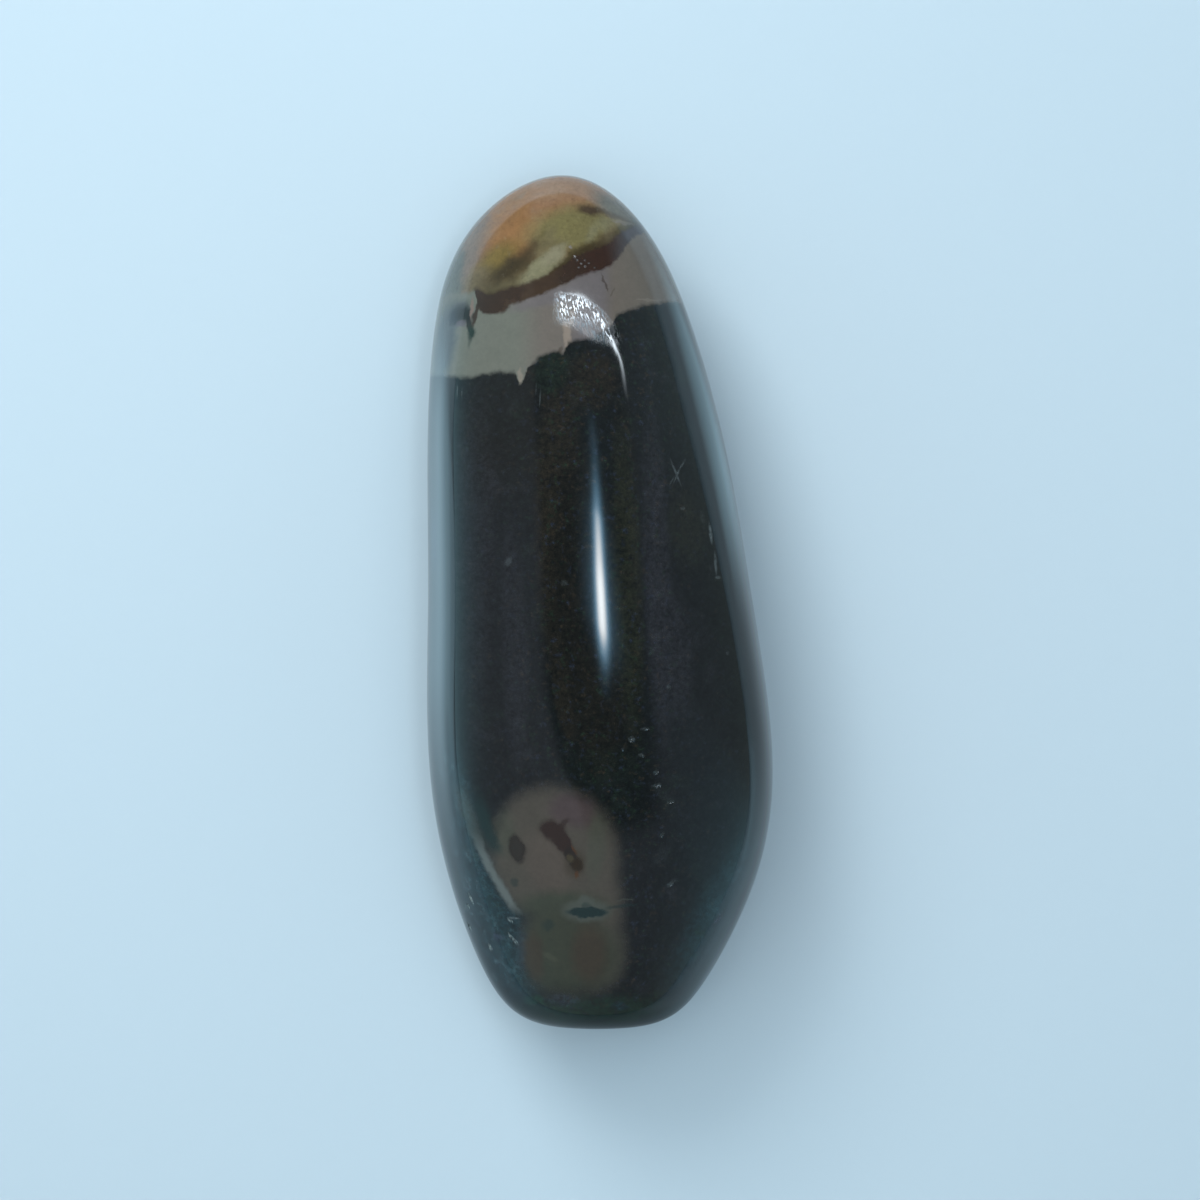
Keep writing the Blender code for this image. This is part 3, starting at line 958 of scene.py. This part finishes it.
# Bent lamp over the cap, mirrored by the worn shoulder: a bar across as (x, y), and a tail down its right
# end as (y, x), with its brightness as (y, share).
SHOULDER_LAMP_HEIGHT = 600
SHOULDER_LAMP_SHEET = ((-80, 540), (380, 600))
SHOULDER_LAMP_RADIANCE = 28
SHOULDER_BAR = (
    (-60, 496), (0, 504), (76, 519), (157, 538), (225, 546), (284, 550), (338, 552), (399, 540), (449, 521),
    (480, 508),
)
SHOULDER_BAR_ENDS = (-40, 445)
SHOULDER_BAR_WIDTH = ((-40, 24), (150, 26), (400, 21), (440, 21))
SHOULDER_TAIL = ((400, 474), (432, 479), (460, 489), (487, 491), (508, 475), (522, 449))
SHOULDER_TAIL_LEVEL = ((400, 0), (432, 0.06), (460, 0.16), (487, 0.34), (508, 0.7), (520, 1))
SHOULDER_TAIL_WIDTH = 21
SHOULDER_TAIL_TOP = (540, 520)
SHOULDER_TINT = (0.8, 0.91, 1, 1)

# Radiance low in the room, light over the far floor that only the polish sees, and the share of the floor's
# own brightness that the polish sees, all by the bearing from the stone in degrees from +X towards +Y.
LOW_ROOM = (
    (-180, 1.25), (-165, 1.28), (-155, 1.1), (-145, 0.72), (-131, 0.6), (-115, 0.46), (-100, 0.38),
    (-88, 0.3), (-67, 0.28), (-52, 0.46), (-45, 0.54), (-38, 0.7), (-33, 0.84), (-24, 0.78), (-12, 0.56),
    (-5, 0.4), (5, 0.38), (30, 0.48), (60, 0.48), (90, 0.46), (120, 0.52), (140, 0.66), (158, 0.92),
    (170, 1.2), (180, 1.25),
)
FAR_FLOOR_GLOW = (
    (-180, 0), (-172, 0.15), (-165, 0.42), (-156, 0.55), (-145, 0.36), (-131, 0.26), (-115, 0.16),
    (-100, 0.09), (-88, 0.04), (-67, 0.05), (-52, 0.16), (-45, 0.25), (-38, 0.42), (-33, 0.52), (-24, 0.46),
    (-12, 0.26), (0, 0.16), (30, 0.18), (90, 0.15), (120, 0.1), (140, 0.12), (158, 0.2), (170, 0.05),
    (180, 0),
)
FLOOR_SHADE = (
    (-180, 1), (-168, 0.95), (-156, 0.78), (-128, 0.72), (-112, 0.62), (-98, 0.52), (-84, 0.45), (-72, 0.62),
    (-62, 0.92), (-42, 1), (180, 1),
)
# Distances from the stone's middle at which the far glow and the shade come in, as (none, full).
FAR_GLOW_FADE = (70, 240)
FLOOR_SHADE_FADE = (55, 95)

# Lamps for what is matt, as place, aim, side and radiance.
SOFT_LAMPS = {
    "soft_fill": ((-60, 60, 620), (-60, 0, 0), 620, 1.8),
    "upper_left": ((-300, 520, 520), (-20, 0, 0), 370, 9),
}

# The room overhead at the left, the right and over the cap, and its tint low down where it is dim and bright.
HIGH_LEFT = (0.37, 0.43, 0.5, 1)
HIGH_RIGHT = (0.28, 0.34, 0.41, 1)
HIGH_CAP = (0.38, 0.42, 0.44, 1)
LOW_DIM = (0.8, 1.04, 1.1, 1)
LOW_BRIGHT = (0.62, 1.08, 1.28, 1)
LOW_TOP = 0.85

# The darker panel overhead. Its left edge is (rise towards the cap, place across), both for a height of 1.
# Its base edge is a rise, and its right edge is a place across that widens with the rise.
PANEL_LEFT = (
    (-0.55, -0.1), (-0.46, -0.16), (-0.4, -0.26), (-0.36, -0.33), (-0.3, -0.38), (-0.24, -0.41),
    (-0.1, -0.44), (0.6, -0.44),
)
PANEL_LEFT_BLUR = 0.045
PANEL_BASE = (-0.52, -0.44)
PANEL_RIGHT = (0.66, 0.34)
PANEL_WIDENING = 0.5
PANEL_DARK = (0.13, 0.175, 0.195, 1)
PANEL_BY_CAP = (0.22, 0.28, 0.32, 1)
LEAST_RISE = 0.02

# Patches of light on the floor that only the polish sees: fades across and along, (none, full), and radiance.
LEFT_GLOW = (
    (((-36, -70),), ((-110, -20),), 0.45),
    (((-65, -120),), ((-110, -20),), 0.5),
    (((-36, -50), (-150, -80)), ((-42, -8),), 0.4),
)
LEFT_GLOW_CAP_FADE = (64, 34)
LEFT_GLOW_BY_CAP = 0.3
RIGHT_GLOW = (
    (((45, 70),), ((-20, -60), (-150, -90)), 0.25),
    (((28, 45), (120, 65)), ((0, 35), (100, 60)), 0.78),
    (((14, 30), (62, 46)), ((-66, -76), (-120, -96)), 0.12),
)


def link(thing):
    bpy.context.scene.collection.objects.link(thing)
    return thing


def flat_sheet(name, across, along, material):
    """A level sheet from one place to another across, and from one to another along."""
    (left, right), (low, high) = across, along
    corners = ((left, low), (right, low), (right, high), (left, high))
    mesh = bpy.data.meshes.new(name)
    mesh.from_pydata([(x * MM, y * MM, 0) for x, y in corners], [], [(0, 1, 2, 3)])
    mesh.materials.append(material)
    sheet = link(bpy.data.objects.new(name, mesh))
    return sheet


def make_floor():
    material, book = new_material("pale_floor")
    looks = {"Base Color": FLOOR_COLOUR, "Roughness": FLOOR_ROUGHNESS, "Specular IOR Level": 0}
    book.feed_all(book.tree.nodes["Principled BSDF"], looks)
    floor = flat_sheet("floor", FLOOR_REACH, FLOOR_REACH, material)
    floor.location.z = -FLOOR_DROP * MM


def bearing(book, x, y):
    return book.math("ARCTAN2", y, x) * (180 / math.pi)


def glowing(name, light_of, sampling="NONE"):
    """A clear glow, by the sheet's own millimetres. Only one that lights the floor is sampled as a lamp."""
    material, book = new_material(name)
    material.cycles.emission_sampling = sampling
    tree = book.tree
    tree.nodes.remove(tree.nodes["Principled BSDF"])
    radiance, tint, clearness = light_of(book, millimetres(book))
    glow = book.node("Emission")
    book.feed_all(glow, {"Color": tint, "Strength": radiance})
    clear = book.node("BsdfTransparent")
    book.feed(clear.inputs["Color"], clearness)
    both = book.node("AddShader")
    tree.links.new(glow.outputs[0], both.inputs[0])
    tree.links.new(clear.outputs[0], both.inputs[1])
    tree.links.new(both.outputs[0], tree.nodes["Material Output"].inputs["Surface"])
    return material


def bell_curve(book, value, reach):
    scaled = value * (1 / reach)
    return book.math("POWER", math.e, scaled * scaled * -1)


def strip_light(book, point):
    across, along, _ = book.split(point)
    core = bell_curve(book, across, STRIP_CORE)
    halo = bell_curve(book, across, STRIP_HALO) * STRIP_HALO_SHARE
    level = book.curve(along, STRIP_ALONG)
    tint = book.mix(STRIP_BLUE, STRIP_WHITE, book.smooth(core * level, 0.1, 0.72))
    return (core + halo) * level * STRIP_RADIANCE, tint, WHITE


def shoulder_light(book, point):
    x, y, _ = book.split(point)
    from_bar = book.math("ABSOLUTE", y - book.curve(x, SHOULDER_BAR))
    bar_width = book.curve(x, SHOULDER_BAR_WIDTH)
    bar = book.smooth(book.math("DIVIDE", from_bar, bar_width), 1.25, 0.6)
    start, end = SHOULDER_BAR_ENDS
    bar = bar * book.smooth(x, start - 20, start + 12) * book.smooth(x, end + 16, end)
    from_tail = book.math("ABSOLUTE", x - book.curve(y, SHOULDER_TAIL))
    tail = book.smooth(from_tail, SHOULDER_TAIL_WIDTH * 1.4, SHOULDER_TAIL_WIDTH * 0.3)
    tail = tail * book.curve(y, SHOULDER_TAIL_LEVEL) * book.smooth(y, *SHOULDER_TAIL_TOP)
    return book.math("MAXIMUM", bar, tail) * SHOULDER_LAMP_RADIANCE, SHOULDER_TINT, WHITE


def glow_patches(book, x, y, patches):
    """The sum of patches of light on the floor, each fading across and along."""
    total = 0
    for across, along, radiance in patches:
        patch = radiance
        for fade in across:
            patch = book.smooth(x, *fade) * patch
        for fade in along:
            patch = book.smooth(y, *fade) * patch
        total = patch + total
    return total


def floor_light(book, point):
    """What the polish alone sees of the floor: more light at the left and by the cap, less past the base."""
    x, y, _ = book.split(point)
    left = glow_patches(book, x, y, LEFT_GLOW)
    left = left * (book.smooth(y, *LEFT_GLOW_CAP_FADE) * (1 - LEFT_GLOW_BY_CAP) + LEFT_GLOW_BY_CAP)
    right = glow_patches(book, x, y, RIGHT_GLOW)
    away = book.node("VectorMath", operation="LENGTH")
    book.feed(away.inputs[0], point)
    away = Value(book, away.outputs["Value"])
    turn = bearing(book, x, y)
    far = book.curve(turn, FAR_FLOOR_GLOW) * book.smooth(away, *FAR_GLOW_FADE)
    clear = 1 - (1 - book.curve(turn, FLOOR_SHADE)) * book.smooth(away, *FLOOR_SHADE_FADE)
    return left + right + far, BLUE, clear


def make_lit_sheets():
    strip = flat_sheet("key_strip", *STRIP_SHEET, glowing("strip_glow", strip_light, "AUTO"))
    strip.location = [value * MM for value in STRIP_CENTRE]
    strip.rotation_euler.z = math.radians(STRIP_TURN)
    lamp = flat_sheet("shoulder_lamp", *SHOULDER_LAMP_SHEET, glowing("shoulder_glow", shoulder_light))
    lamp.location.z = SHOULDER_LAMP_HEIGHT * MM
    lamp.visible_diffuse = False
    floor_glow = flat_sheet("floor_glow", BOUNCE_REACH, BOUNCE_REACH, glowing("floor_glow", floor_light))
    floor_glow.location.z = BOUNCE_HEIGHT * MM
    floor_glow.visible_diffuse = False
    for sheet in (strip, lamp, floor_glow):
        sheet.visible_camera = sheet.visible_shadow = False


def soft_lamp(name, centre, aim, side, radiance):
    """A lamp for what is matt: it lights the floor and the colours, and stays out of the polish."""
    lamp = bpy.data.lights.new(name, "AREA")
    lamp.size = side * MM
    lamp.energy = radiance * math.pi * lamp.size**2
    lamp.color = COOL
    light = link(bpy.data.objects.new(name, lamp))
    light.location = [value * MM for value in centre]
    light.rotation_euler = (Vector(aim) - Vector(centre)).to_track_quat("-Z", "Y").to_euler()
    light.visible_camera = light.visible_glossy = False


def make_world():
    """A soft room: dim overhead, brighter low down at the left, with a darker panel overhead."""
    world = bpy.data.worlds.new("soft_room")
    world.use_nodes = True
    tree = world.node_tree
    book = NodeBook(tree)
    place = book.node("TexCoord")
    x, y, z = book.split(Value(book, place.outputs["Generated"]))
    high = book.mix(HIGH_LEFT, HIGH_RIGHT, book.smooth(x, -0.1, 0.5))
    high = book.mix(high, HIGH_CAP, book.smooth(y, 0.05, 0.3) * book.smooth(x, 0.9, -0.6))
    level = book.curve(bearing(book, x, y), LOW_ROOM)
    low = book.scale(book.mix(LOW_DIM, LOW_BRIGHT, book.smooth(level, 0.35, 0.8)), level)
    share = book.math("MINIMUM", book.math("MAXIMUM", z * (1 / LOW_TOP), 0), 1)
    sky = book.mix(low, high, share)
    rise = book.math("MAXIMUM", z, LEAST_RISE)
    across = book.math("DIVIDE", x, rise)
    up = book.math("DIVIDE", y, rise)
    widening = book.math("MAXIMUM", up, 0) * PANEL_WIDENING
    panel = book.smooth(across - book.curve(up, PANEL_LEFT), -PANEL_LEFT_BLUR, PANEL_LEFT_BLUR)
    panel = panel * book.smooth(up, *PANEL_BASE) * book.smooth(across - widening, *PANEL_RIGHT)
    sky = book.mix(sky, book.mix(PANEL_DARK, PANEL_BY_CAP, book.smooth(up, 0, 0.6)), panel)
    book.feed(tree.nodes["Background"].inputs["Color"], sky)
    bpy.context.scene.world = world


def make_camera():
    """A camera straight above that frames the stone, at its widest level, as the photo does."""
    data = bpy.data.cameras.new("camera")
    data.sensor_width = SENSOR_WIDTH
    data.lens = SENSOR_WIDTH * (CAMERA_HEIGHT - WIDEST_LEVEL) / VIEW_WIDTH
    camera = link(bpy.data.objects.new("camera", data))
    camera.location = (CAMERA_X * MM, CAMERA_Y * MM, CAMERA_HEIGHT * MM)
    bpy.context.scene.camera = camera


stone = make_stone()
stone.data.materials.append(make_jasper())
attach(stone, "root")
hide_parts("stone")

make_floor()
make_world()
make_lit_sheets()
for name, numbers in SOFT_LAMPS.items():
    soft_lamp(name, *numbers)
make_camera()
bpy.context.scene.view_settings.view_transform = "Standard"
